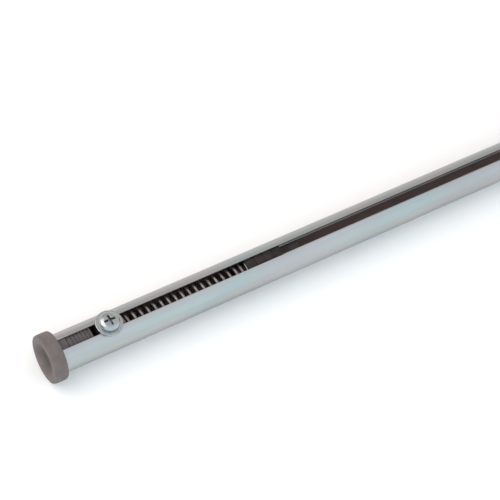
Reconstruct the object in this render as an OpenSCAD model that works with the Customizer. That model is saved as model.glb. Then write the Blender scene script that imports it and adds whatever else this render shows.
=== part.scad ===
// Spring-loaded telescoping doorway bar: two nested open-seam steel tubes, a rubber foot on each end,
// and a spring between a stop that is clamped through the outer seam and the end of the inner tube.
// +X runs along the bar and +Z points out of the seams. The origin is the middle of the outer foot's face.

/* [Outer tube] */
// Outside diameter of the outer tube
outer_d = 25; // [24:0.5:32]
// Wall of the outer tube
outer_wall = 1.2; // [0.8:0.1:1.6]
// Length of the outer tube
outer_l = 620; // [400:10:900]
// Width of the open seam along the outer tube
outer_slot_w = 7.4; // [6.8:0.1:9]

/* [Inner tube] */
// Radial gap between the two tubes
tube_gap = 0.3; // [0.2:0.05:0.6]
// Wall of the inner tube
inner_wall = 1.2; // [0.8:0.1:1.6]
// Width of the open seam along the inner tube
inner_slot_w = 5.8; // [3:0.2:7]
// Bare inner tube between the mouth collar and the inner foot, which the spring's travel uses up
inner_show = 51; // [48:1:150]

/* [Rubber feet] */
// Diameter of a foot's flange
foot_d = 32.2; // [29:0.2:40]
// Thickness of a foot's flange
foot_t = 9.2; // [7:0.2:12]
// Radius round the front edge of a foot
foot_front_r = 1.25; // [1:0.25:3]
// Radius round the back edge of a foot
foot_back_r = 2; // [0.5:0.25:2]
// Diameter of the dish in a foot's face
dish_d = 22; // [14:1:23]
// Depth of the dish in a foot's face
dish_depth = 3.6; // [0.5:0.1:5]
// Diameter of the rubber stem that holds a foot in its plug
stem_d = 8; // [6:0.5:9]
// Length of the rubber stem
stem_l = 14; // [8:1:20]

/* [End plugs] */
// Length of a plug inside its tube
plug_l = 22.5; // [20:0.5:36]
// Length of the smooth, keyed land at a plug's outer end
plug_land_l = 5.6; // [4:0.2:8]
// Thickness of a plug's first, wide rib
plug_wide_rib_t = 2.6; // [1.5:0.1:3]
// Thickness of a plug's other ribs
plug_rib_t = 1.5; // [1:0.1:2]
// Gap between one rib and the next
plug_rib_gap = 0.8; // [0.5:0.1:2.5]
// How deep the gaps between the ribs are
plug_rib_h = 0.6; // [0.4:0.1:2]

/* [Clamp] */
// Diameter of the clamp screw's shank
screw_d = 6; // [5:0.5:6]
// Length of the clamp screw under its head
screw_l = 16; // [14:1:20]
// Diameter of the clamp screw's head
screw_head_d = 13; // [10:0.5:14]
// Height of the clamp screw's head
screw_head_h = 4.2; // [3.5:0.1:5]
// Length of each arm of the cross recess, tip to tip
recess_l = 8; // [5:0.2:8.4]
// Width of an arm of the cross recess
recess_w = 1.8; // [1:0.1:2.2]
// Depth of the cross recess
recess_depth = 2.6; // [1.5:0.1:3]
// Outside diameter of the clamp washer
washer_d = 17.5; // [16:0.5:20]
// Thickness of the clamp washer
washer_t = 1.6; // [1:0.1:2]
// Width of the square clamp nut across its flats
nut_w = 10; // [9:0.5:10.5]
// Thickness of the clamp nut
nut_t = 5; // [3:0.5:6]
// Length of the stop block along the bar
block_l = 16; // [14.5:0.5:24]
// Gap between the stop block and the outer plug at the short end of the stop's travel
block_gap = 3.8; // [1:0.1:6]

/* [Spring] */
// Free length of the spring
spring_l = 90.5; // [75:0.5:120]
// Outside diameter of the spring
spring_od = 18; // [14:0.5:19]
// Diameter of the spring's wire
wire_d = 2; // [1.4:0.1:2.2]
// Working turns of the spring, besides a closed one at each end
spring_turns = 17; // [10:1:20]
// Radial gap between a thrust washer at an end of the spring and the outer tube
thrust_gap = 1.3; // [0.3:0.1:1.5]
// Thickness of a thrust washer
thrust_t = 0.8; // [0.5:0.1:1.2]
// Length of each pilot that keeps an end of the spring centred
pilot_l = 6; // [3:0.5:10]

/* [Spring seat] */
// Length of the spring seat's head between the spring and the inner tube
seat_head_l = 26.5; // [10:0.5:30]
// Length of the spring seat's shank inside the inner tube
seat_shank_l = 15; // [8:1:30]

/* [Mouth collar] */
// Length of the collar on the outer tube's mouth
collar_l = 14; // [8:1:24]
// Wall of the collar round the tube
collar_wall = 1.6; // [1:0.1:3]
// Thickness of the collar's lip past the tube's end
collar_lip_t = 2; // [1:0.25:4]

/* [Fits] */
// Radial gap of a piece that is pushed in and stays
press_gap = 0.02; // [0:0.01:0.1]
// Radial gap of a piece that slides or turns
slide_gap = 0.08; // [0.05:0.01:0.1]
// Gap between faces that only rest on each other
rest_gap = 0.02; // [0.01:0.01:0.05]

/* [Hidden] */

$fn = 96;

// Makes a cut run past the face that it leaves by
cut_past = 1;

// Radii of the two tubes
outer_r = outer_d / 2;
outer_bore_r = outer_r - outer_wall;
inner_r = outer_bore_r - tube_gap;
inner_bore_r = inner_r - inner_wall;

// Places along X, from the outer foot to the inner foot
outer_x = foot_t;
block_x = outer_x + plug_l + block_gap;
clamp_x = block_x + block_l / 2;
fixed_thrust_x = block_x + block_l + rest_gap;
spring_x = fixed_thrust_x + thrust_t + rest_gap;
moving_thrust_x = spring_x + spring_l + rest_gap;
seat_x = moving_thrust_x + thrust_t + rest_gap;
inner_x = seat_x + seat_head_l + rest_gap;
mouth_x = outer_x + outer_l;
inner_end_x = mouth_x + collar_lip_t + inner_show;
inner_l = inner_end_x - inner_x;

// Heights along Z of the clamp: the washer rests on the two edges of the seam
seam_edge_z = sqrt(pow(outer_r, 2) - pow(outer_slot_w / 2, 2));
washer_z = seam_edge_z + 2 * rest_gap;
head_z = washer_z + washer_t + rest_gap;
screw_tip_z = head_z - screw_l;
nut_z = screw_tip_z + rest_gap;

// Spring and its pilots
spring_mean_r = (spring_od - wire_d) / 2;
closed_pitch = wire_d * 1.02;
spring_pitch = (spring_l - wire_d - 2 * closed_pitch) / spring_turns;
pilot_d = spring_od - 2 * wire_d - 0.6;
turn_steps = 18;
wire_sides = 6;

// Draws a flat (Y, Z) outline from x onwards, for a length along X
module along_x(x, length) {
    translate([x, 0, 0]) rotate([90, 0, 90]) linear_extrude(length) children();
}

// Turns a flat (radius, X) outline into a round body about the bar's axis
module around_x(x) {
    translate([x, 0, 0]) rotate([0, 90, 0]) rotate_extrude() children();
}

// A disc or rod about the bar's axis
module rod(x, length, d) {
    translate([x, 0, 0]) rotate([0, 90, 0]) cylinder(h = length, d = d);
}

// A round tube along the bar with an open seam on its top
module seam_tube(x, length, r, wall, slot_w) {
    along_x(x, length) difference() {
        circle(r);
        circle(r - wall);
        translate([-slot_w / 2, 0]) square([slot_w, r + cut_past]);
    }
}

// Flat outline of a foot from its face at 0: a disc with a rounded front and back edge
module foot_outline() {
    edge_r = foot_d / 2;
    square([edge_r - foot_front_r, foot_t]);
    translate([0, foot_front_r]) square([edge_r, foot_t - foot_front_r - foot_back_r]);
    translate([0, foot_front_r]) square([edge_r - foot_back_r, foot_t - foot_front_r]);
    translate([edge_r - foot_front_r, foot_front_r]) circle(foot_front_r);
    translate([edge_r - foot_back_r, foot_t - foot_back_r]) circle(foot_back_r);
}

// A rubber foot with its face at 0 and its stem along +X
module foot() {
    dish_r = (pow(dish_d / 2, 2) + pow(dish_depth, 2)) / (2 * dish_depth);
    difference() {
        union() {
            around_x(0) foot_outline();
            rod(foot_t / 2, foot_t / 2 + stem_l, stem_d);
        }
        translate([dish_depth - dish_r, 0, 0]) sphere(dish_r, $fn = 180);
    }
}

// A ribbed plug from 0 along +X, keyed into its tube's seam
module ribbed_plug(bore_r, tube_r, slot_w) {
    plug_r = bore_r - press_gap;
    core_r = plug_r - plug_rib_h;
    key_w = slot_w - 2 * slide_gap;
    key_z = sqrt(pow(tube_r, 2) - pow(slot_w / 2, 2)) - 0.3;
    ribs_x = plug_land_l + plug_rib_gap / 2;
    small_ribs_x = ribs_x + plug_wide_rib_t + plug_rib_gap;
    difference() {
        union() {
            rod(0, plug_l, 2 * core_r);
            rod(0, plug_land_l, 2 * plug_r);
            rod(ribs_x, plug_wide_rib_t, 2 * plug_r);
            for (x = [small_ribs_x : plug_rib_t + plug_rib_gap : plug_l - plug_rib_t])
                rod(x, plug_rib_t, 2 * plug_r);
            translate([0, -key_w / 2, 0]) cube([plug_land_l, key_w, key_z]);
        }
        rod(-cut_past, stem_l + 2 * cut_past, stem_d + 2 * press_gap);
    }
}

// A flat steel ring about the bar's axis
module thrust_washer(x, bore_d) {
    difference() {
        rod(x, thrust_t, 2 * (outer_bore_r - thrust_gap));
        rod(x - cut_past, thrust_t + 2 * cut_past, bore_d);
    }
}

// Place of the spring wire's middle after so many turns, as [x, angle]
function coil_x(turn) =
    wire_d / 2
    + closed_pitch * min(turn, 1)
    + spring_pitch * min(max(turn - 1, 0), spring_turns)
    + closed_pitch * max(turn - 1 - spring_turns, 0);

// One ring of points round the spring's wire
function wire_ring(turn) = [
    for (side = [0 : wire_sides - 1])
        let (
            across = 360 * side / wire_sides,
            r = spring_mean_r + wire_d / 2 * cos(across),
            around = 360 * turn
        )
        [coil_x(turn) + wire_d / 2 * sin(across), r * cos(around), r * sin(around)]
];

// Smooth faces between two neighbouring rings of the wire
function wire_band(ring) = [
    for (side = [0 : wire_sides - 1])
        let (
            a = ring * wire_sides + side,
            b = ring * wire_sides + (side + 1) % wire_sides
        )
        [a, b, b + wire_sides, a + wire_sides]
];

module outer_tube() {
    color("lightsteelblue") seam_tube(outer_x, outer_l, outer_r, outer_wall, outer_slot_w);
}

module outer_plug() {
    color("dimgray") translate([outer_x, 0, 0]) ribbed_plug(outer_bore_r, outer_r, outer_slot_w);
}

module outer_foot() {
    color("gray") foot();
}

// The collar caps the outer tube's mouth, and its key keeps the seam from closing or opening
module mouth_collar() {
    collar_r = outer_r + collar_wall;
    key_w = outer_slot_w - 2 * slide_gap;
    color("dimgray") difference() {
        union() {
            difference() {
                rod(mouth_x + collar_lip_t - collar_l, collar_l, 2 * collar_r);
                rod(mouth_x - collar_l, collar_l, 2 * (outer_r + press_gap));
            }
            translate([mouth_x + collar_lip_t - collar_l, -key_w / 2, outer_bore_r / 2])
                cube([collar_l, key_w, outer_r + collar_wall / 2 - outer_bore_r / 2]);
        }
        rod(mouth_x - collar_l - cut_past, 2 * collar_l, 2 * outer_bore_r);
    }
}

// The block slides in the outer tube, holds the nut from turning, and carries the spring's push
module stop_block() {
    block_r = outer_bore_r - slide_gap;
    pocket_w = nut_w + 2 * slide_gap;
    color("darkslategray") difference() {
        union() {
            rod(block_x, block_l, 2 * block_r);
            rod(block_x, block_l + thrust_t + pilot_l, pilot_d);
        }
        translate([clamp_x, 0, 0]) cylinder(h = outer_d, d = screw_d + 4 * slide_gap);
        translate([clamp_x - pocket_w / 2, -pocket_w / 2, -outer_d])
            cube([pocket_w, pocket_w, outer_d + nut_z + nut_t + rest_gap]);
    }
}

module clamp_nut() {
    color("silver") translate([clamp_x, 0, nut_z]) difference() {
        translate([-nut_w / 2, -nut_w / 2, 0]) cube([nut_w, nut_w, nut_t]);
        translate([0, 0, -cut_past]) cylinder(h = nut_t + 2 * cut_past, d = screw_d + 2 * slide_gap);
    }
}

module fixed_thrust_washer() {
    color("silver") thrust_washer(fixed_thrust_x, pilot_d + 2 * slide_gap);
}

module main_spring() {
    rings = turn_steps * (spring_turns + 2);
    points = [for (ring = [0 : rings]) each wire_ring(ring / turn_steps)];
    bands = [for (ring = [0 : rings - 1]) each wire_band(ring)];
    first_cap = [for (side = [wire_sides - 1 : -1 : 0]) side];
    last_cap = [for (side = [0 : wire_sides - 1]) rings * wire_sides + side];
    color("slategray") translate([spring_x, 0, 0])
        polyhedron(points, concat(bands, [first_cap, last_cap]));
}

module clamp_washer() {
    color("silver") translate([clamp_x, 0, washer_z]) difference() {
        cylinder(h = washer_t, d = washer_d);
        translate([0, 0, -cut_past])
            cylinder(h = washer_t + 2 * cut_past, d = screw_d + 2 * slide_gap);
    }
}

// A pan head, part of a sphere cut off by the head's diameter, with a cross recess
module clamp_screw() {
    rim_h = screw_head_h * 0.35;
    crown_h = screw_head_h - rim_h;
    crown_r = (pow(screw_head_d / 2, 2) + pow(crown_h, 2)) / (2 * crown_h);
    color("silver") translate([clamp_x, 0, head_z]) difference() {
        union() {
            translate([0, 0, -screw_l]) cylinder(h = screw_l + rim_h, d = screw_d);
            intersection() {
                cylinder(h = screw_head_h, d = screw_head_d);
                translate([0, 0, screw_head_h - crown_r]) sphere(crown_r);
            }
        }
        for (turn = [0, 90])
            rotate([0, 0, turn])
                translate([-recess_l / 2, -recess_w / 2, screw_head_h - recess_depth])
                    cube([recess_l, recess_w, recess_depth + cut_past]);
    }
}

module moving_thrust_washer() {
    color("silver") thrust_washer(moving_thrust_x, pilot_d + 2 * slide_gap);
}

// The seat turns on the thrust washer and is pushed into the inner tube
module spring_seat() {
    color("darkslategray") {
        rod(seat_x - thrust_t - pilot_l, thrust_t + pilot_l + seat_head_l, pilot_d);
        rod(seat_x, seat_head_l, 2 * (outer_bore_r - tube_gap));
        rod(seat_x, seat_head_l + seat_shank_l, 2 * (inner_bore_r - press_gap));
    }
}

module inner_tube() {
    color("lightsteelblue") seam_tube(inner_x, inner_l, inner_r, inner_wall, inner_slot_w);
}

module inner_plug() {
    color("dimgray") translate([inner_end_x, 0, 0])
        mirror([1, 0, 0]) ribbed_plug(inner_bore_r, inner_r, inner_slot_w);
}

module inner_foot() {
    color("gray") translate([inner_end_x + foot_t, 0, 0]) mirror([1, 0, 0]) foot();
}

outer_tube();
outer_plug();
outer_foot();
mouth_collar();
stop_block();
clamp_nut();
fixed_thrust_washer();
main_spring();
clamp_washer();
clamp_screw();
moving_thrust_washer();
spring_seat();
inner_tube();
inner_plug();
inner_foot();
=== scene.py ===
"""Looks of the spring-loaded doorway bar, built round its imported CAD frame. Lengths are in metres."""
import math

import bmesh
import bpy
from mathutils import Matrix, Vector, noise


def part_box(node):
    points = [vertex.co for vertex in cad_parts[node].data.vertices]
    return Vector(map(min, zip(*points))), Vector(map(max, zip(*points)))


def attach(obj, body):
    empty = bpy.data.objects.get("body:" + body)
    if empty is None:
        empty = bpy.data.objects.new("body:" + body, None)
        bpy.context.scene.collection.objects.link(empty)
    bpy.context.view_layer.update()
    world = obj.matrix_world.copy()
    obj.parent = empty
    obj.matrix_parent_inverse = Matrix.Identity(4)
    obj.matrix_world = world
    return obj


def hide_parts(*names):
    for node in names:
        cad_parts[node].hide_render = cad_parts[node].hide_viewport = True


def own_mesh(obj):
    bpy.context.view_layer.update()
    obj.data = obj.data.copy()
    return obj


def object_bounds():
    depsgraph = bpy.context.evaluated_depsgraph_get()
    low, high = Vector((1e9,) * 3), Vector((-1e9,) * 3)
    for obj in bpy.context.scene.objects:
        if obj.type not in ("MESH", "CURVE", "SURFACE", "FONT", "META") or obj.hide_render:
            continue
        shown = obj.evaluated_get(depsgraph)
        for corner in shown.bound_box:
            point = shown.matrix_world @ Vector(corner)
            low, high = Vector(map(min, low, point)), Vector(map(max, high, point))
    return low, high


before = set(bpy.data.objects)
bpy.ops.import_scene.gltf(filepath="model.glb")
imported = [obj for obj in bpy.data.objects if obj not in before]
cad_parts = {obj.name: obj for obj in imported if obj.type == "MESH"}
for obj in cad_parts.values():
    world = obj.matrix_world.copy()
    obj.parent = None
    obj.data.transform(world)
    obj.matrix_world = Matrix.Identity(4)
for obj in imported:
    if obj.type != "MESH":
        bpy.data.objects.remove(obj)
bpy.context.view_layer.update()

MM = 0.001


# ---------------------------------------------------------------- places and sizes

SEAM_W = 7.4 * MM
INNER_SEAM_W = 5.8 * MM
SPRING_TURNS = 17
WIRE_D = 2.0 * MM
SCREW_D = 6.0 * MM
SCREW_PITCH = 1.0 * MM
RECESS_L = 8.0 * MM
RECESS_W = 1.6 * MM
RECESS_DEPTH = 2.6 * MM
DISH_R = 11.0 * MM
DISH_DEPTH = 3.6 * MM
STEM_R = 4.0 * MM
STEM_L = 14.0 * MM
LAND_L = 5.6 * MM
WIDE_RIB = 2.6 * MM
RIB = 1.5 * MM
RIB_GAP = 0.8 * MM
RIB_H = 0.6 * MM
WALL = 1.2 * MM
SLIDE_GAP = 0.08 * MM
TINY = 0.001 * MM
REST_GAP = 0.02 * MM
FLOOR_HALF = 14.0


def span(node):
    """Start, end and radius of a round CAD node that lies along the bar."""
    low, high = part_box(node)
    return low.x, high.x, (high.y - low.y) / 2


OUTER_X0, OUTER_X1, OUTER_R = span("outer_tube")
INNER_X0, INNER_X1, INNER_R = span("inner_tube")
BORE_R = OUTER_R - WALL
INNER_BORE_R = INNER_R - WALL
washer_low, washer_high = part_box("clamp_washer")
CLAMP = Vector(((washer_low.x + washer_high.x) / 2, 0, 0))

# ---------------------------------------------------------------- mesh helpers


def mesh_object(name, verts, faces):
    mesh = bpy.data.meshes.new(name)
    mesh.from_pydata(verts, [], faces)
    mesh.update()
    obj = bpy.data.objects.new(name, mesh)
    bpy.context.scene.collection.objects.link(obj)
    return obj


def softened(corners, steps=4):
    """An outline whose corners, given as (a, b, radius), are rounded."""
    points = []
    for i, (a, b, radius) in enumerate(corners):
        here = Vector((a, b))
        if radius <= 0:
            points.append(here)
            continue
        before = Vector(corners[i - 1][:2]) - here
        after = Vector(corners[(i + 1) % len(corners)][:2]) - here
        start = here + before.normalized() * min(radius, before.length * 0.49)
        end = here + after.normalized() * min(radius, after.length * 0.49)
        for step in range(steps + 1):
            t = step / steps
            points.append(start * (1 - t) ** 2 + here * (2 * t * (1 - t)) + end * t * t)
    return points


def revolved(name, outline, place, sides=96, closed=False):
    """A round body: place(along, radius, angle) gives each point of the (along, radius) outline."""
    rings, verts, faces = [], [], []
    for along, radius in outline:
        if radius < 1e-7:
            rings.append([len(verts)] * sides)
            verts.append(place(along, 0, 0))
        else:
            rings.append(list(range(len(verts), len(verts) + sides)))
            verts += [place(along, radius, 2 * math.pi * k / sides) for k in range(sides)]
    pairs = list(zip(rings, rings[1:]))
    if closed:
        pairs.append((rings[-1], rings[0]))
    for one, two in pairs:
        for k in range(sides):
            n = (k + 1) % sides
            face = []
            for index in (one[k], one[n], two[n], two[k]):
                if index not in face:
                    face.append(index)
            if len(face) > 2:
                faces.append(face)
    return mesh_object(name, verts, faces)


def swept(name, rings):
    """A closed body through rings that have the same number of points."""
    sides = len(rings[0])
    verts = [point for ring in rings for point in ring]
    last = len(verts) - sides
    faces = [tuple(range(sides)), tuple(range(last, last + sides))]
    for start in range(0, last, sides):
        for k in range(sides):
            n = (k + 1) % sides
            faces.append((start + k, start + n, start + sides + n, start + sides + k))
    return mesh_object(name, verts, faces)


def about_x(along, radius, angle):
    return (along, radius * math.cos(angle), radius * math.sin(angle))


def about_clamp(along, radius, angle):
    return (CLAMP.x + radius * math.cos(angle), radius * math.sin(angle), along)


def block(name, low, high, taper=(1, 1)):
    """A box, whose lower end may be narrower than its upper one."""
    cx, cy = (low[0] + high[0]) / 2, (low[1] + high[1]) / 2
    hx, hy = (high[0] - low[0]) / 2, (high[1] - low[1]) / 2
    verts = []
    for z, sx, sy in ((low[2], taper[0], taper[1]), (high[2], 1, 1)):
        for dx, dy in ((-1, -1), (1, -1), (1, 1), (-1, 1)):
            verts.append((cx + dx * hx * sx, cy + dy * hy * sy, z))
    faces = [(3, 2, 1, 0), (4, 5, 6, 7), (0, 1, 5, 4), (1, 2, 6, 5), (2, 3, 7, 6), (3, 0, 4, 7)]
    return mesh_object(name, verts, faces)


def baked(obj):
    """The object with its modifiers worked into its mesh."""
    graph = bpy.context.evaluated_depsgraph_get()
    obj.data = bpy.data.meshes.new_from_object(obj.evaluated_get(graph))
    obj.modifiers.clear()
    return obj


def changed(obj, tool, operation="DIFFERENCE"):
    """The object after a cut or a union with the tool, which is used up."""
    modifier = obj.modifiers.new("cut", "BOOLEAN")
    modifier.operation = operation
    modifier.solver = "EXACT"
    modifier.object = tool
    baked(obj)
    bpy.data.objects.remove(tool)
    return obj


def bevelled(obj, width, segments=2, angle=35):
    modifier = obj.modifiers.new("bevel", "BEVEL")
    modifier.width = width
    modifier.segments = segments
    modifier.limit_method = "ANGLE"
    modifier.angle_limit = math.radians(angle)
    modifier.use_clamp_overlap = True
    return baked(obj)


def joined(obj, *others):
    """One mesh made of several."""
    mesh = bmesh.new()
    for each in (obj, *others):
        mesh.from_mesh(each.data)
    mesh.to_mesh(obj.data)
    mesh.free()
    for each in others:
        bpy.data.objects.remove(each)
    return obj


def shaded(obj, angle=38):
    """Smooth shading that keeps edges sharper than the angle, on clean faces turned outwards."""
    mesh = bmesh.new()
    mesh.from_mesh(obj.data)
    bmesh.ops.dissolve_degenerate(mesh, dist=TINY, edges=mesh.edges)
    bmesh.ops.recalc_face_normals(mesh, faces=mesh.faces)
    for face in mesh.faces:
        face.smooth = True
    for edge in mesh.edges:
        edge.smooth = len(edge.link_faces) == 2 and edge.calc_face_angle(0) < math.radians(angle)
    mesh.to_mesh(obj.data)
    mesh.free()
    return obj


def placed(obj, body, node, material, angle=38):
    """Puts a finished piece on its body, in place of its CAD node."""
    shaded(obj, angle)
    obj.data.materials.clear()
    obj.data.materials.append(material)
    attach(obj, body)
    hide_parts(node)
    return obj


# ---------------------------------------------------------------- materials


def fill_ramp(node, stops):
    """Puts the stops, each a place and a colour, on a colour ramp node."""
    band = node.color_ramp
    while len(band.elements) < len(stops):
        band.elements.new(0.5)
    for element, (position, colour) in zip(band.elements, stops):
        element.position = position
        element.color = (*colour, 1)


class Finish:
    """A procedural material, built from nodes in the piece's own coordinates."""

    def __init__(self, name, **sockets):
        self.material = bpy.data.materials.new(name)
        self.material.use_nodes = True
        self.tree = self.material.node_tree
        self.shader = self.tree.nodes["Principled BSDF"]
        self.place = self.add("ShaderNodeTexCoord").outputs["Object"]
        for key, value in sockets.items():
            self.shader.inputs[key.replace("_", " ")].default_value = value

    def add(self, kind, inputs=None, **settings):
        node = self.tree.nodes.new(kind)
        for key, value in settings.items():
            setattr(node, key, value)
        for key, value in (inputs or {}).items():
            if isinstance(value, bpy.types.NodeSocket):
                self.tree.links.new(value, node.inputs[key])
            else:
                node.inputs[key].default_value = value
        return node

    def noise(self, scale, stretch=(1, 1, 1), detail=4.0, roughness=0.55):
        mapping = self.add("ShaderNodeMapping", {"Vector": self.place, "Scale": stretch})
        inputs = {"Vector": mapping.outputs[0], "Scale": scale, "Detail": detail}
        return self.add("ShaderNodeTexNoise", {**inputs, "Roughness": roughness}).outputs["Fac"]

    def cells(self, scale, stretch=(1, 1, 1)):
        mapping = self.add("ShaderNodeMapping", {"Vector": self.place, "Scale": stretch})
        inputs = {"Vector": mapping.outputs[0], "Scale": scale}
        return self.add("ShaderNodeTexVoronoi", inputs).outputs["Distance"]

    def span(self, value, low, high, to_low, to_high):
        inputs = {0: value, 1: low, 2: high, 3: to_low, 4: to_high}
        return self.add("ShaderNodeMapRange", inputs).outputs[0]

    def sums(self, operation, a, b=0.0):
        return self.add("ShaderNodeMath", {0: a, 1: b}, operation=operation).outputs[0]

    def ramp(self, value, stops):
        node = self.add("ShaderNodeValToRGB", {0: value})
        fill_ramp(node, stops)
        return node.outputs[0]

    def mixed(self, factor, a, b, blend="MIX"):
        colours = {}
        for key, value in ((6, a), (7, b)):
            colours[key] = (*value, 1) if isinstance(value, tuple) else value
        inputs = {0: factor, **colours}
        return self.add("ShaderNodeMix", inputs, data_type="RGBA", blend_type=blend).outputs[2]

    def radius(self):
        """Distance from the bar's axis."""
        parts = self.add("ShaderNodeSeparateXYZ", {0: self.place}).outputs
        squares = [self.sums("MULTIPLY", parts[k], parts[k]) for k in (1, 2)]
        return self.sums("SQRT", self.sums("ADD", *squares))

    def bump(self, *layers):
        """Layers of (height, depth in metres), one over another."""
        normal = None
        for height, depth in layers:
            inputs = {"Height": height, "Distance": depth, "Strength": 1.0}
            if normal is not None:
                inputs["Normal"] = normal
            normal = self.add("ShaderNodeBump", inputs).outputs[0]
        self.tree.links.new(normal, self.shader.inputs["Normal"])

    def set(self, key, socket):
        self.tree.links.new(socket, self.shader.inputs[key])


def zinc_tube(name, bore_r, tube_r, dull, oil):
    """Bright zinc on a rolled tube: marks along the bar, a faint bloom of colour, and an oiled bore."""
    made = Finish(name, Metallic=1.0, Specular_Tint=(0.8, 0.8, 0.79, 1))
    marks = made.noise(900, (0.015, 1, 1), 5, 0.6)
    fine = made.noise(2600, (0.03, 1, 1), 3, 0.6)
    haze = made.noise(26, (0.6, 1.6, 1.6), 4, 0.55)
    bloom = made.noise(34, (0.35, 1.3, 1.3), 3, 0.5)
    tint = made.ramp(bloom, [
        (0.30, (0.425, 0.470, 0.490)), (0.44, (0.455, 0.472, 0.472)), (0.53, (0.475, 0.458, 0.470)),
        (0.62, (0.448, 0.475, 0.465)), (0.72, (0.415, 0.470, 0.490))])
    shade = made.mixed(made.span(haze, 0.35, 0.65, 0.0, 1.0), (0.90, 0.90, 0.90), (1.0, 1.0, 1.0))
    plated = made.mixed(1.0, tint, shade, "MULTIPLY")
    plated = made.mixed(made.span(marks, 0.35, 0.75, 0.0, 0.32), plated, (0.36, 0.37, 0.38))
    specks = made.span(made.cells(420, (0.5, 1, 1)), 0.03, 0.07, 0.35, 0.0)
    plated = made.mixed(specks, plated, (0.30, 0.30, 0.30))
    inside = made.span(made.radius(), bore_r + 0.1 * MM, tube_r - 0.35 * MM, 1.0, 0.0)
    light_oil = tuple(c * 1.6 for c in oil)
    oiled = made.mixed(made.noise(300, (0.2, 1, 1)), oil, light_oil)
    made.set("Base Color", made.mixed(inside, plated, oiled))
    rough = made.span(made.sums("ADD", marks, haze), 0.7, 1.3, 0.26 + dull, 0.42 + dull)
    made.set("Roughness", made.sums("ADD", rough, made.sums("MULTIPLY", inside, 0.25)))
    made.set("Metallic", made.span(inside, 0.0, 1.0, 1.0, 0.45))
    made.bump((marks, 0.016 * MM), (fine, 0.005 * MM), (haze, 0.25 * MM))
    return made.material


def zinc_hardware(name, recess_shade_below=None):
    """Bright blue zinc on stamped and turned pieces, with painted shade down in a screw's recess."""
    made = Finish(name, Metallic=1.0)
    grain = made.noise(3200, detail=3)
    patch = made.noise(260, detail=4)
    tint = made.ramp(patch, [
        (0.34, (0.33, 0.39, 0.42)), (0.46, (0.40, 0.43, 0.45)), (0.56, (0.44, 0.45, 0.43)),
        (0.68, (0.35, 0.39, 0.43))])
    pits = made.span(made.cells(900), 0.05, 0.12, 0.4, 0.0)
    tint = made.mixed(pits, tint, (0.22, 0.24, 0.26))
    # Below the given height and within the recess's reach of the screw's axis the colour is darkened: painted
    # shade in the cross recess, and the same darker tone on the shank below it.
    if recess_shade_below:
        parts = made.add("ShaderNodeSeparateXYZ", {0: made.place}).outputs
        along = made.sums("SUBTRACT", parts[0], CLAMP.x)
        squares = [made.sums("MULTIPLY", each, each) for each in (along, parts[1])]
        reach = made.sums("SQRT", made.sums("ADD", *squares))
        deep = made.span(parts[2], recess_shade_below - 0.5 * MM, recess_shade_below, 0.8, 0.0)
        near = made.span(reach, RECESS_L / 2 + 0.02 * MM, RECESS_L / 2 + 0.1 * MM, 1.0, 0.0)
        tint = made.mixed(made.sums("MULTIPLY", deep, near), tint, (0.230, 0.245, 0.250))
    made.set("Base Color", tint)
    made.set("Roughness", made.span(made.sums("ADD", grain, patch), 0.7, 1.3, 0.16, 0.34))
    made.bump((patch, 0.03 * MM), (grain, 0.006 * MM))
    return made.material


def spring_steel(name):
    """Oiled, drawn wire, scuffed on its crowns."""
    made = Finish(name, Metallic=1.0)
    drawn = made.noise(1500, (1, 0.4, 0.4), 4)
    stain = made.noise(160, detail=5)
    steel = made.mixed(made.span(stain, 0.38, 0.66, 0.0, 1.0), (0.30, 0.285, 0.28), (0.20, 0.165, 0.15))
    made.set("Base Color", made.mixed(made.span(drawn, 0.5, 0.8, 0.0, 0.5), steel, (0.38, 0.37, 0.37)))
    made.set("Roughness", made.span(made.sums("ADD", drawn, stain), 0.7, 1.3, 0.42, 0.62))
    made.bump((drawn, 0.02 * MM), (stain, 0.03 * MM))
    return made.material


def rubber(name):
    """Matt grey-brown moulded rubber with a little bloom and dust, and painted shade in its dish."""
    made = Finish(name, Specular_IOR_Level=0.35)
    bloom = made.noise(120, detail=5, roughness=0.6)
    grain = made.noise(1800, detail=4, roughness=0.65)
    dust = made.noise(420, detail=6, roughness=0.7)
    base = made.ramp(bloom, [
        (0.32, (0.124, 0.100, 0.093)), (0.50, (0.148, 0.122, 0.114)), (0.70, (0.174, 0.147, 0.138))])
    base = made.mixed(made.span(dust, 0.56, 0.74, 0.0, 0.35), base, (0.225, 0.208, 0.196))
    # Painted shade: the dished face is darkened towards its centre, standing in for the shade down in the
    # dish.
    base = made.mixed(made.span(made.radius(), DISH_R * 0.45, DISH_R, 0.8, 0.0), base, (0.055, 0.045, 0.041))
    pores = made.span(made.cells(1500), 0.05, 0.16, 0.5, 0.0)
    made.set("Base Color", made.mixed(pores, base, (0.085, 0.074, 0.070)))
    made.set("Roughness", made.span(made.sums("ADD", grain, bloom), 0.7, 1.3, 0.58, 0.82))
    made.bump((bloom, 0.12 * MM), (grain, 0.03 * MM), (dust, 0.03 * MM))
    return made.material


def moulded(name, dark, light, low_rough, high_rough, spark, gloss=0.45):
    """Moulded plastic with flow marks and a spark-eroded skin."""
    made = Finish(name, Specular_IOR_Level=gloss)
    flow = made.noise(90, (1, 2.5, 2.5), 5)
    skin = made.noise(2400, detail=4, roughness=0.7)
    scuff = made.noise(700, (0.15, 1, 1), 5, 0.7)
    base = made.mixed(made.span(flow, 0.35, 0.65, 0.0, 1.0), dark, light)
    pale = tuple(min(1.0, c * 1.7 + 0.02) for c in light)
    made.set("Base Color", made.mixed(made.span(scuff, 0.58, 0.75, 0.0, 0.45), base, pale))
    made.set("Roughness", made.span(made.sums("ADD", skin, flow), 0.7, 1.3, low_rough, high_rough))
    made.bump((flow, 0.06 * MM), (skin, spark), (scuff, 0.01 * MM))
    return made.material


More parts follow.
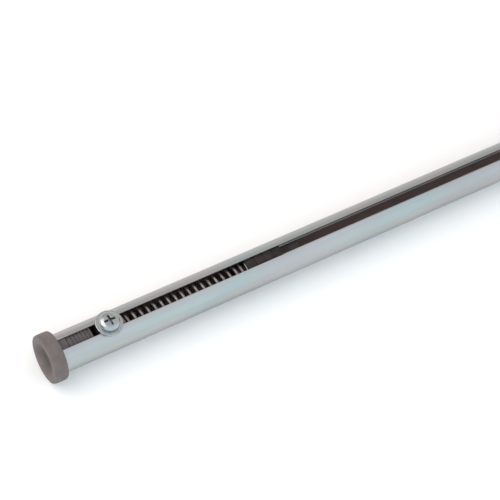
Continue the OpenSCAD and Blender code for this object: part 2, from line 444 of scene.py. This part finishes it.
def backdrop(name):
    """Pale paper."""
    made = Finish(name, Roughness=0.9, Specular_IOR_Level=0.1)
    fibre = made.noise(900, detail=4)
    broad = made.noise(3.0, detail=2)
    made.set("Base Color", made.mixed(broad, (0.960, 0.945, 0.938), (0.975, 0.962, 0.955)))
    made.bump((fibre, 0.01 * MM))
    return made.material


outer_zinc = zinc_tube("outer tube zinc", BORE_R, OUTER_R, 0.0, (0.25, 0.17, 0.16))
inner_zinc = zinc_tube("inner tube zinc", INNER_BORE_R, INNER_R, 0.06, (0.25, 0.185, 0.175))
blue_zinc = zinc_hardware("blue zinc")
# The screw's finish paints shade into its cross recess.
screw_zinc = zinc_hardware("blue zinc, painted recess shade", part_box("clamp_screw")[1].z - 0.75 * MM)
oiled_wire = spring_steel("oiled spring wire")
foot_rubber = rubber("grey-brown rubber")
plug_plastic = moulded("slate plastic", (0.050, 0.043, 0.046), (0.088, 0.076, 0.080), 0.38, 0.58, 0.012 * MM)
guide_plastic = moulded(
    "black guide plastic", (0.019, 0.014, 0.014), (0.036, 0.027, 0.027), 0.42, 0.62, 0.010 * MM, 0.15)
collar_plastic = moulded(
    "dark collar plastic", (0.075, 0.070, 0.070), (0.115, 0.108, 0.106), 0.50, 0.72, 0.025 * MM)

# ---------------------------------------------------------------- tubes


def seam_outline(radius, bore, width, edge):
    """Outline in (Y, Z) of a tube wall with an open seam on its top and softened seam edges."""
    outer_turn, inner_turn = math.asin(width / 2 / radius), math.asin(width / 2 / bore)
    corners, count = [], 108
    for k in range(count + 1):
        angle = outer_turn + (2 * math.pi - 2 * outer_turn) * k / count
        soft = edge if k in (0, count) else 0
        corners.append((radius * math.sin(angle), radius * math.cos(angle), soft))
    for k in range(count + 1):
        angle = 2 * math.pi - inner_turn - (2 * math.pi - 2 * inner_turn) * k / count
        soft = edge if k in (0, count) else 0
        corners.append((bore * math.sin(angle), bore * math.cos(angle), soft))
    return softened(corners, 4)


def seam_tube(name, start, end, radius, width, seed):
    """A rolled tube with softened ends, whose seam wanders by a few hundredths of a millimetre."""
    bore = radius - WALL
    edge = 0.22 * MM
    stations = [(0.0, edge), (edge * 0.3, edge * 0.3), (edge, 0.0)]
    count = int((end - start) / (8 * MM))
    middle = [(edge + (end - start - 2 * edge) * k / count, 0.0) for k in range(1, count)]
    stations += middle + [(end - start - along, inset) for along, inset in reversed(stations)]
    rings = []
    for along, inset in stations:
        wander = 0.05 * MM * noise.noise(Vector((along * 22, seed, 0.5)))
        outline = seam_outline(radius - inset, bore + inset, width + 2 * inset + wander, edge)
        rings.append([(start + along, y, z) for y, z in outline])
    return swept(name, rings)


outer_tube = seam_tube("outer_tube_shell", OUTER_X0, OUTER_X1, OUTER_R, SEAM_W, 1.7)
placed(outer_tube, "outer_assembly", "outer_tube", outer_zinc, 30)
inner_tube = seam_tube("inner_tube_shell", INNER_X0, INNER_X1, INNER_R, INNER_SEAM_W, 6.3)
placed(inner_tube, "inner_assembly", "inner_tube", inner_zinc, 30)

# ---------------------------------------------------------------- feet


def foot(name, face_x, way):
    """A rubber foot: dished face with a gate mark, soft edges, a fine mould line, and its stem."""
    low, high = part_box("outer_foot" if way > 0 else "inner_foot")
    rim = (high.y - low.y) / 2
    thick = abs((OUTER_X0 if way > 0 else INNER_X1) - face_x)
    side = rim - 0.12 * MM
    ball = (DISH_R ** 2 + DISH_DEPTH ** 2) / (2 * DISH_DEPTH)
    dish = []
    for k in range(15):
        radius = 1.3 * MM + (DISH_R - 1.5 * MM) * k / 14
        dish.append((DISH_DEPTH - ball + math.sqrt(ball ** 2 - radius ** 2), radius))
    gate = DISH_DEPTH - 0.25 * MM
    lip = DISH_R + 0.25 * MM
    line = thick * 0.52
    outline = [(gate, 0.0), (gate, 0.75 * MM), (gate + 0.1 * MM, 1.0 * MM)] + dish
    outline += [tuple(p) for p in softened([
        (*dish[-1], 0), (0.02 * MM, lip, 0.8 * MM), (0.0, rim - 1.5 * MM, 0.4 * MM),
        (0.1 * MM, side - 0.3 * MM, 1.1 * MM), (1.3 * MM, side, 1.0 * MM),
        (line, side, 0.05 * MM), (line + 0.12 * MM, rim, 0.08 * MM),
        (line + 0.34 * MM, rim, 0.08 * MM), (line + 0.46 * MM, side, 0.05 * MM),
        (thick, side, 2.0 * MM), (thick, STEM_R + 1.5 * MM, 0), (thick, STEM_R, 0.3 * MM),
        (thick + STEM_L, STEM_R, 1.0 * MM), (thick + STEM_L, 0.0, 0)], 6)[1:]]
    outline = [(max(a, 0.0), r) for a, r in outline]
    return revolved(name, [(face_x + way * a, r) for a, r in outline], about_x, 128)


face_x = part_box("outer_foot")[0].x
placed(foot("outer_foot_rubber", face_x, 1), "outer_assembly", "outer_foot", foot_rubber)
far_face_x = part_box("inner_foot")[1].x
placed(foot("inner_foot_rubber", far_face_x, -1), "inner_assembly", "inner_foot", foot_rubber)

# ---------------------------------------------------------------- end plugs


def plug(name, start, length, way, bore, tube_r, width):
    """A ribbed plug with a key in its tube's seam and a blind hole for the foot's stem."""
    outer, core, hole = bore - REST_GAP, bore - REST_GAP - RIB_H, STEM_R + REST_GAP
    corners = [(0, outer, 0.25 * MM), (LAND_L, outer, 0.3 * MM), (LAND_L, core, 0.2 * MM)]
    ribs = [(LAND_L + RIB_GAP / 2, WIDE_RIB)]
    at = LAND_L + RIB_GAP / 2 + WIDE_RIB + RIB_GAP
    while at <= length - RIB + 1e-6:
        ribs.append((at, RIB))
        at += RIB + RIB_GAP
    for along, thick in ribs:
        end = min(along + thick, length)
        corners += [(along, core, 0.15 * MM), (along + 0.1 * MM, outer, 0.3 * MM)]
        corners += [(end - 0.15 * MM, outer, 0.35 * MM), (end, core, 0.15 * MM)]
    corners += [(length, core, 0.1 * MM), (length, 0.6 * core, 0.3 * MM), (length - 0.5 * MM, 0, 0)]
    profile = [tuple(p) for p in softened(corners, 4)]
    depth = STEM_L + 1 * MM
    profile = [(depth, 0.0), (depth, hole), (0.3 * MM, hole), (0.0, hole + 0.3 * MM)] + profile
    body = revolved(name, [(start + way * a, r) for a, r in profile], about_x, 96)
    key_w = width - 2 * SLIDE_GAP
    key_z = math.sqrt(tube_r ** 2 - width ** 2 / 4) - 0.3 * MM
    ends = sorted((start, start + way * LAND_L))
    key = block("key", (ends[0], -key_w / 2, core * 0.8), (ends[1], key_w / 2, key_z))
    return joined(body, bevelled(key, 0.25 * MM, 3))


plug_low, plug_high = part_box("outer_plug")
outer_plug = plug("outer_plug_ribs", plug_low.x, plug_high.x - plug_low.x, 1, BORE_R, OUTER_R, SEAM_W)
placed(outer_plug, "outer_assembly", "outer_plug", plug_plastic)
plug_low, plug_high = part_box("inner_plug")
inner_plug = plug(
    "inner_plug_ribs", plug_high.x, plug_high.x - plug_low.x, -1, INNER_BORE_R, INNER_R, INNER_SEAM_W)
placed(inner_plug, "inner_assembly", "inner_plug", plug_plastic)

# ---------------------------------------------------------------- mouth collar

collar_x0, collar_x1, collar_r = span("mouth_collar")
tube_fit = OUTER_R + REST_GAP
collar_outline = softened([
    (collar_x0, tube_fit, 0.1 * MM), (collar_x0, collar_r - 0.5 * MM, 0.4 * MM),
    (collar_x0 + 1.2 * MM, collar_r - 0.35 * MM, 0.3 * MM), (collar_x0 + 1.5 * MM, collar_r, 0.3 * MM),
    (collar_x1 - 2.6 * MM, collar_r, 0.3 * MM), (collar_x1 - 2.3 * MM, collar_r - 0.3 * MM, 0.15 * MM),
    (collar_x1 - 1.9 * MM, collar_r - 0.3 * MM, 0.15 * MM), (collar_x1 - 1.6 * MM, collar_r, 0.3 * MM),
    (collar_x1, collar_r, 1.0 * MM), (collar_x1, BORE_R, 0.5 * MM),
    (OUTER_X1 + 0.001 * MM, BORE_R, 0.1 * MM), (OUTER_X1 + 0.001 * MM, tube_fit, 0)], 5)
collar = revolved("mouth_collar_ring", collar_outline, about_x, 128, closed=True)
collar_key = block(
    "key", (collar_x0 + 0.2 * MM, -SEAM_W / 2 + SLIDE_GAP, BORE_R + REST_GAP),
    (OUTER_X1 + 0.5 * MM, SEAM_W / 2 - SLIDE_GAP, OUTER_R + 0.6 * MM))
joined(collar, bevelled(collar_key, 0.2 * MM))
placed(collar, "outer_assembly", "mouth_collar", collar_plastic)

# ---------------------------------------------------------------- stop block and its nut

nut_low, nut_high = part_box("clamp_nut")
stop_x0, stop_x1, stop_r = span("stop_block")
spring_x0, spring_x1, spring_r = span("main_spring")
pilot_r = spring_r - WIRE_D - 0.3 * MM
stop_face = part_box("fixed_thrust_washer")[0].x - REST_GAP
groove = 0.5 * MM
stop_outline = softened([
    (stop_x0, 0, 0), (stop_x0, stop_r - 0.2 * MM, 0.8 * MM), (stop_x0 + 2.0 * MM, stop_r, 0.3 * MM),
    (stop_x0 + 2.2 * MM, stop_r - groove, 0.2 * MM), (stop_x0 + 3.0 * MM, stop_r - groove, 0.2 * MM),
    (stop_x0 + 3.2 * MM, stop_r, 0.2 * MM), (stop_face - 3.2 * MM, stop_r, 0.2 * MM),
    (stop_face - 3.0 * MM, stop_r - groove, 0.2 * MM), (stop_face - 2.2 * MM, stop_r - groove, 0.2 * MM),
    (stop_face - 2.0 * MM, stop_r, 0.2 * MM), (stop_face, stop_r, 0.5 * MM), (stop_face, pilot_r, 0.2 * MM),
    (stop_x1 - 0.8 * MM, pilot_r, 0.3 * MM), (stop_x1, pilot_r - 0.8 * MM, 0.3 * MM), (stop_x1, 0, 0)], 4)
stop = revolved("stop_block_body", stop_outline, about_x, 96)
pocket = block("pocket", (nut_low.x - SLIDE_GAP, nut_low.y - SLIDE_GAP, -2 * stop_r),
               (nut_high.x + SLIDE_GAP, nut_high.y + SLIDE_GAP, nut_high.z + REST_GAP))
changed(stop, pocket)
hole_r = SCREW_D / 2 + 2 * SLIDE_GAP
hole_outline = [(-MM, 0), (-MM, hole_r), (2 * stop_r, hole_r), (2 * stop_r, 0)]
hole = revolved("hole", hole_outline, about_clamp, 64)
changed(stop, hole)
placed(stop, "stop", "stop_block", guide_plastic)

nut = block("clamp_nut_square", nut_low, nut_high)
nut_hole_r = SCREW_D / 2 + SLIDE_GAP
nut_hole = revolved("hole", [
    (nut_low.z - MM, 0), (nut_low.z - MM, nut_hole_r + 1.4 * MM), (nut_low.z + 0.4 * MM, nut_hole_r),
    (nut_high.z - 0.4 * MM, nut_hole_r), (nut_high.z + MM, nut_hole_r + 1.4 * MM), (nut_high.z + MM, 0)],
    about_clamp, 64)
changed(nut, nut_hole)
bevelled(nut, 0.3 * MM, 3, 60)
placed(nut, "stop", "clamp_nut", blue_zinc)

# ---------------------------------------------------------------- washers


def ring(name, start, end, outer, bore, place, rolled, sides=96):
    """A stamped ring: one rolled edge, and one with the slight breakaway of the die."""
    outline = softened([
        (start, bore + 0.05 * MM, 0.1 * MM), (start, outer - 0.04 * MM, rolled * 0.3),
        (start + (end - start) * 0.35, outer - 0.03 * MM, 0.1 * MM),
        (start + (end - start) * 0.5, outer, 0.1 * MM), (end, outer, rolled), (end, bore, rolled * 0.7),
        (start + (end - start) * 0.4, bore, 0.05 * MM)], 5)
    return revolved(name, outline, place, sides, closed=True)


thrust_bore = pilot_r + SLIDE_GAP
low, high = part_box("fixed_thrust_washer")
fixed = ring("fixed_thrust_ring", low.x, high.x, (high.y - low.y) / 2, thrust_bore, about_x, 0.25 * MM)
placed(fixed, "stop", "fixed_thrust_washer", blue_zinc)
low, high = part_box("moving_thrust_washer")
moving = ring("moving_thrust_ring", high.x, low.x, (high.y - low.y) / 2, thrust_bore, about_x, 0.25 * MM)
placed(moving, "spring_end", "moving_thrust_washer", blue_zinc)
washer_r = (washer_high.y - washer_low.y) / 2
washer = ring(
    "clamp_washer_disc", washer_low.z, washer_high.z, washer_r, nut_hole_r, about_clamp, 0.45 * MM, 128)
placed(washer, "washer", "clamp_washer", blue_zinc)

# ---------------------------------------------------------------- clamp screw

screw_low, screw_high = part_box("clamp_screw")
head_r = (screw_high.y - screw_low.y) / 2
head_z = washer_high.z + REST_GAP
head_h = screw_high.z - head_z
crown_z = head_z + 0.35 * head_h
crown = []
for k in range(1, 17):
    turn = k / 16 * math.pi / 2
    height = (screw_high.z - crown_z) * math.sin(turn) ** 0.9
    crown.append((crown_z + height, head_r * math.cos(turn) ** 0.62))
crown[-1] = (screw_high.z, 0.0)
head_outline = [(head_z, 0.0), (head_z, head_r - 0.35 * MM), (head_z + 0.1 * MM, head_r - 0.12 * MM),
                (head_z + 0.3 * MM, head_r), (crown_z, head_r)] + crown
head = revolved("clamp_screw_head", head_outline, about_clamp, 128)
floor_z = screw_high.z - RECESS_DEPTH
top_z = screw_high.z + 0.3 * MM
for long_x, long_y in ((RECESS_L, RECESS_W), (RECESS_W, RECESS_L)):
    taper = [0.72 if each == RECESS_L else 0.85 for each in (long_x, long_y)]
    arm = block("arm", (CLAMP.x - long_x / 2, -long_y / 2, floor_z),
                (CLAMP.x + long_x / 2, long_y / 2, top_z), taper)
    changed(head, arm)
bevelled(head, 0.10 * MM, 2, 32)


def thread(name, start, end, major, minor, pitch):
    """A shank with a helical thread that runs out at both ends, about the clamp's axis."""
    sides, steps = 48, int((end - start) / pitch * 10)
    rings = []
    for s in range(steps + 1):
        z = start + (end - start) * s / steps
        fade = min(1.0, (z - start) / (0.8 * pitch), (end - z) / (0.8 * pitch))
        ring_points = []
        for k in range(sides):
            phase = ((z - start) / pitch - k / sides) % 1.0
            ridge = min(1.0, max(0.0, 1.35 - 3.1 * abs(phase - 0.5)))
            radius = minor + (major - minor) * ridge * max(fade, 0.0)
            ring_points.append(about_clamp(z, radius, 2 * math.pi * k / sides))
        rings.append(ring_points)
    return swept(name, rings)


shank = thread("shank", screw_low.z, head_z + 0.2 * MM, SCREW_D / 2, SCREW_D / 2 - 0.6 * MM, SCREW_PITCH)
joined(head, shank)
placed(head, "screw", "clamp_screw", screw_zinc, 32)

# ---------------------------------------------------------------- spring

closed_pitch = WIRE_D * 1.02
spring_l = spring_x1 - spring_x0
open_pitch = (spring_l - WIRE_D - 2 * closed_pitch) / SPRING_TURNS
mean_r = spring_r - WIRE_D / 2


def coil_x(turn):
    open_turns = min(max(turn - 1, 0), SPRING_TURNS)
    ends = min(turn, 1) + max(turn - 1 - SPRING_TURNS, 0)
    return spring_x0 + WIRE_D / 2 + closed_pitch * ends + open_pitch * open_turns


def coil(name, steps=48, sides=14):
    """The wire, swept along its helix, with sawn ends."""
    rings = []
    for s in range(steps * (SPRING_TURNS + 2) + 1):
        turn = s / steps
        ring_points = []
        for k in range(sides):
            across = 2 * math.pi * k / sides
            along = coil_x(turn) + WIRE_D / 2 * math.sin(across)
            ring_points.append(about_x(along, mean_r + WIRE_D / 2 * math.cos(across), 2 * math.pi * turn))
        rings.append(ring_points)
    return swept(name, rings)


spring = placed(coil("main_spring_coil"), "stop", "main_spring", oiled_wire, 50)
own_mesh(spring)

# ---------------------------------------------------------------- spring seat

seat_low, seat_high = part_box("spring_seat")
seat_r = (seat_high.y - seat_low.y) / 2
seat_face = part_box("moving_thrust_washer")[1].x + REST_GAP
seat_end = INNER_X0 - REST_GAP
shank_r = INNER_BORE_R - REST_GAP
seat_corners = [
    (seat_low.x, 0, 0), (seat_low.x, pilot_r - 0.8 * MM, 0.3 * MM),
    (seat_low.x + 0.8 * MM, pilot_r, 0.3 * MM), (seat_face, pilot_r, 0.1 * MM),
    (seat_face, seat_r, 0.6 * MM)]
for k in range(3):
    at = seat_face + (seat_end - seat_face) * (0.25 + 0.25 * k)
    seat_corners += [(at - 0.6 * MM, seat_r, 0.2 * MM), (at - 0.4 * MM, seat_r - groove, 0.2 * MM),
                     (at + 0.4 * MM, seat_r - groove, 0.2 * MM), (at + 0.6 * MM, seat_r, 0.2 * MM)]
seat_corners += [
    (seat_end, seat_r, 0.3 * MM), (seat_end, shank_r, 0.05 * MM),
    (seat_high.x - 1.0 * MM, shank_r, 0.4 * MM), (seat_high.x, shank_r - 1.2 * MM, 0.4 * MM),
    (seat_high.x, 0, 0)]
seat = revolved("spring_seat_body", softened(seat_corners, 4), about_x, 96)
placed(seat, "inner_assembly", "spring_seat", guide_plastic)

# ---------------------------------------------------------------- stage, light and camera

scene = bpy.context.scene
scene.view_settings.view_transform = "Standard"
low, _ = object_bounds()
corners = [(-1, -1), (1, -1), (1, 1), (-1, 1)]
floor_points = [(FLOOR_HALF * x, FLOOR_HALF * y, low.z) for x, y in corners]
floor = mesh_object("floor", floor_points, [(0, 1, 2, 3)])
floor.data.materials.append(backdrop("pale paper"))

world = bpy.data.worlds.new("studio")
scene.world = world
world.use_nodes = True
sky = world.node_tree
direction = sky.nodes.new("ShaderNodeTexCoord").outputs["Generated"]
parts = sky.nodes.new("ShaderNodeSeparateXYZ")
sky.links.new(direction, parts.inputs[0])
across = sky.nodes.new("ShaderNodeMapRange")
sky.links.new(parts.outputs[1], across.inputs[0])
across.inputs[1].default_value, across.inputs[2].default_value = -1.0, 1.0
shades = sky.nodes.new("ShaderNodeValToRGB")
sky.links.new(across.outputs[0], shades.inputs[0])
shades.color_ramp.interpolation = "EASE"
fill_ramp(shades, [
    (0.05, (0.80, 0.93, 0.98)), (0.30, (0.78, 0.86, 0.90)), (0.48, (0.66, 0.66, 0.69)),
    (0.75, (0.62, 0.585, 0.555)), (0.95, (0.56, 0.525, 0.495))])
sky.links.new(shades.outputs[0], sky.nodes["Background"].inputs[0])
sky.nodes["Background"].inputs[1].default_value = 1.36


def lamp(name, place, aim, size, power, colour):
    """A rectangular soft light that points from its place to its aim."""
    data = bpy.data.lights.new(name, "AREA")
    data.shape = "RECTANGLE"
    data.size, data.size_y = size
    data.energy = power
    data.color = colour
    obj = bpy.data.objects.new(name, data)
    scene.collection.objects.link(obj)
    way = Vector(aim) - Vector(place)
    obj.matrix_world = Matrix.Translation(place) @ way.to_track_quat("-Z", "Y").to_matrix().to_4x4()


lamp("left softbox", (-1.0, 0.7, 1.3), (0.1, 0, 0), (1.8, 1.8), 17.0, (1.0, 0.985, 0.96))

CAMERA_AZIMUTH, CAMERA_ELEVATION, CAMERA_ROLL = -48.15, 57.40, 20.02
CAMERA_LENS, CAMERA_DISTANCE = 113.87, 1.0274
camera_aim = Vector((face_x + 0.15657, 0.01333, 0))
turn, rise, roll = (math.radians(a) for a in (CAMERA_AZIMUTH, CAMERA_ELEVATION, CAMERA_ROLL))
back = Vector((math.sin(turn) * math.cos(rise), -math.cos(turn) * math.cos(rise), math.sin(rise)))
level = Vector((math.cos(turn), math.sin(turn), 0))
upright = back.cross(level)
right = level * math.cos(roll) + upright * math.sin(roll)
up = upright * math.cos(roll) - level * math.sin(roll)
camera = bpy.data.objects.new("camera", bpy.data.cameras.new("camera"))
scene.collection.objects.link(camera)
camera.data.lens = CAMERA_LENS
camera.data.sensor_width = 36
camera.data.clip_start = 0.01
camera.matrix_world = (
    Matrix.Translation(camera_aim + back * CAMERA_DISTANCE) @ Matrix((right, up, back)).transposed().to_4x4())
scene.camera = camera
